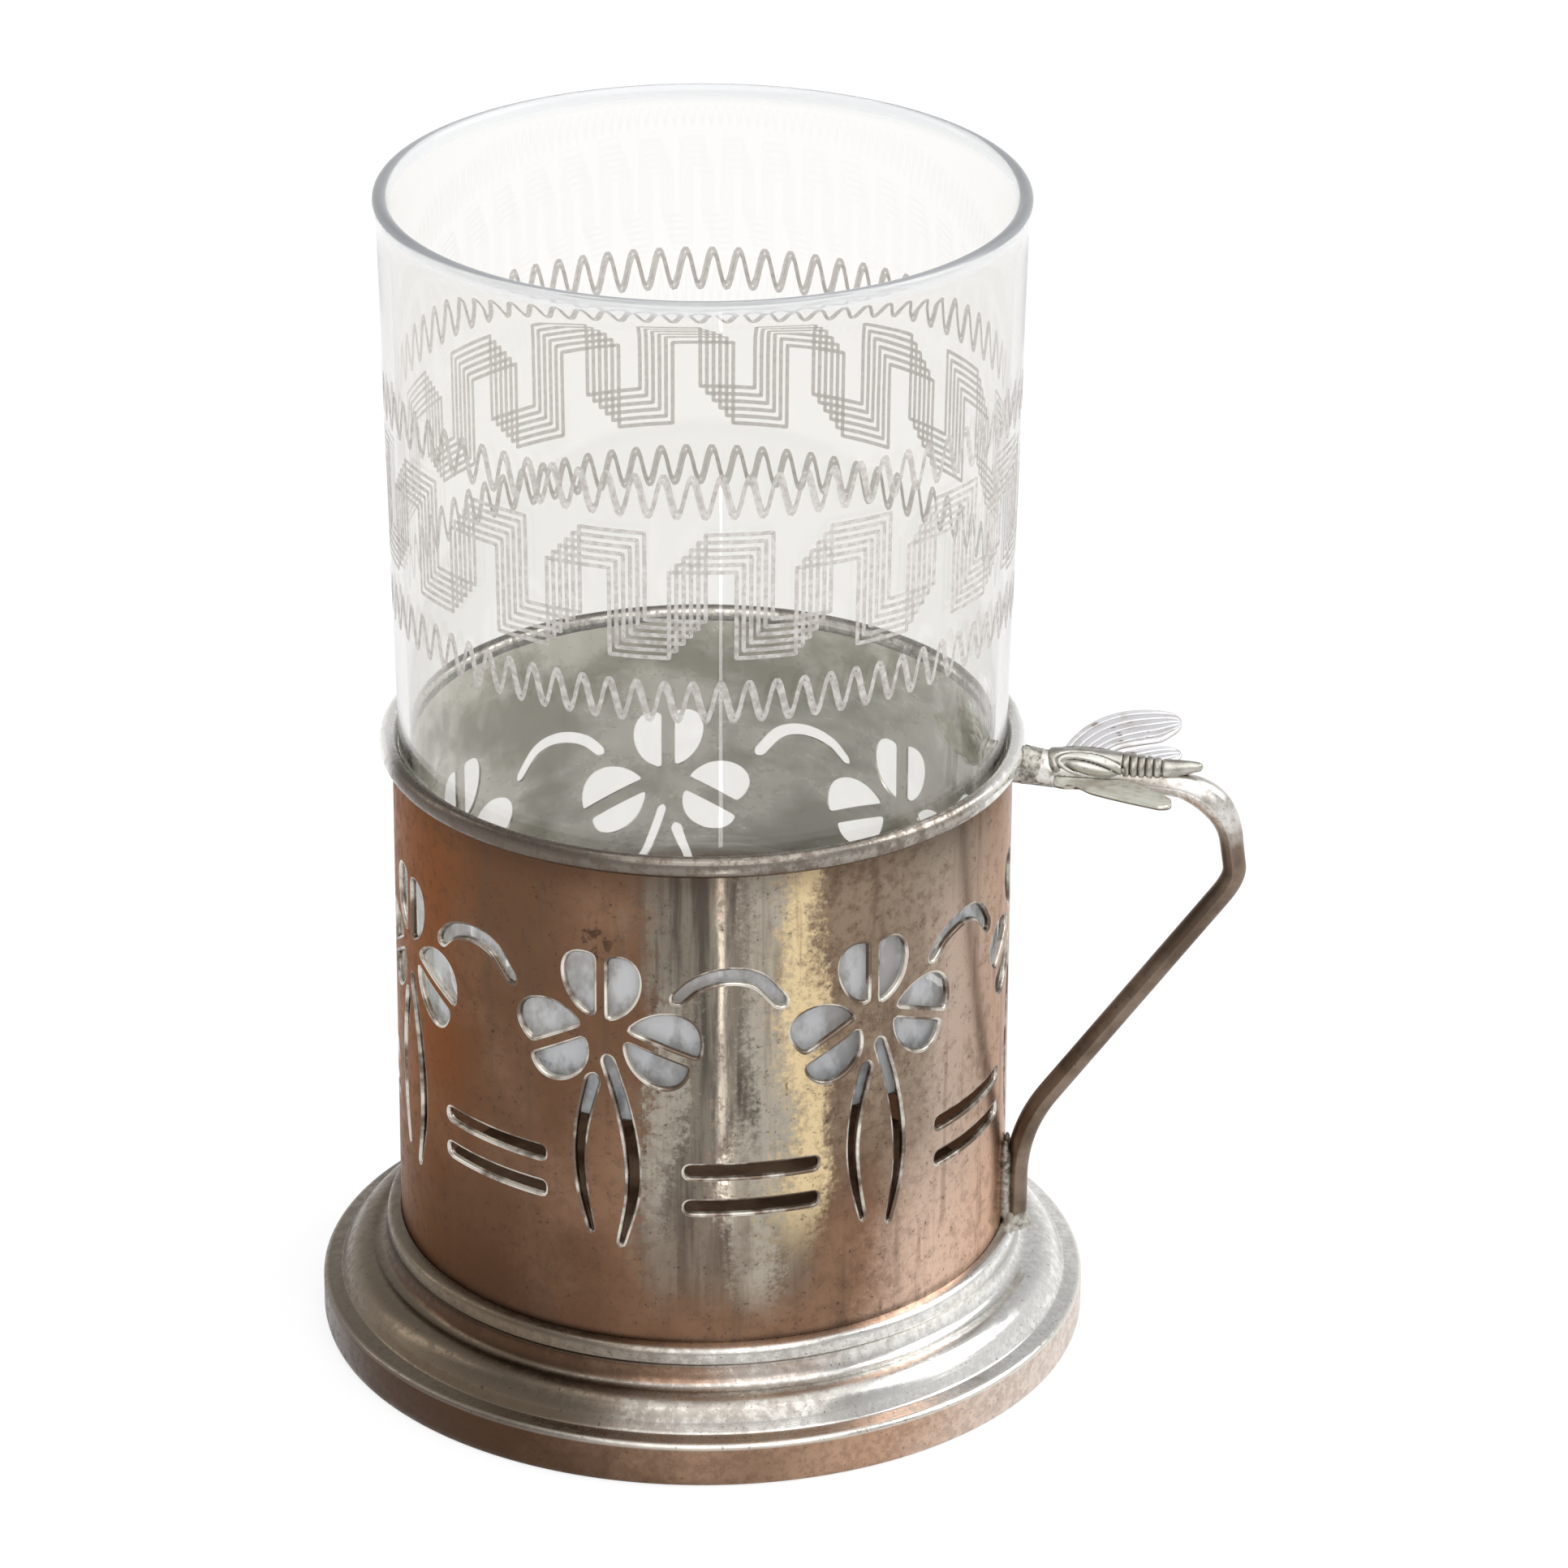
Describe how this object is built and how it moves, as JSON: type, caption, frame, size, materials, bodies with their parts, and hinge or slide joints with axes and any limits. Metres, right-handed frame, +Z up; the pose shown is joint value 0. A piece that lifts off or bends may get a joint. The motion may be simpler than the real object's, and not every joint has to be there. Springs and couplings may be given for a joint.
{
  "type": "grog glass in a pierced metal holder",
  "caption": "Tapered clear tumbler hanging in a pierced metal sleeve on a stepped round foot, with a bent bar handle and a winged thumb rest.",
  "frame": {"origin": "on the table plane, under the middle of the whole object's box; the axis of glass, sleeve and foot stands 7.96 mm from it towards -X", "axes": "+Z up along the glass, +X from the foot towards the handle, +Y across the handle"},
  "size_m": [0.096, 0.08, 0.1243],
  "materials": {
    "foot_metal": "worn silver plate on brass, brown in the low places",
    "floor_metal": "dull tarnished sheet",
    "sleeve_metal": "worn plate with warm brown tarnish",
    "rim_metal": "worn silver plate",
    "handle_metal": "brown tarnish, rubbed bright at the shoulder",
    "insect_metal": "worn silver plate, dark in the grooves",
    "wing_metal": "worn silver plate with engraved veins",
    "clear_glass": "clear glass with fine etched bands"
  },
  "bodies": {
    "holder": {"stepped_foot": "foot_metal", "floor_plate": "floor_metal", "pierced_sleeve": "sleeve_metal", "rim_ring": "rim_metal", "handle_bar": "handle_metal", "insect_body": "insect_metal", "near_wings": "wing_metal", "far_wings": "wing_metal"},
    "glass": {"glass_tumbler": "clear_glass"}
  },
  "joints": [
    {"name": "glass_lift", "type": "slide", "parent": "holder", "child": "glass", "axis": [0, 0, 1], "range_m": [0, 0.05]}
  ]
}
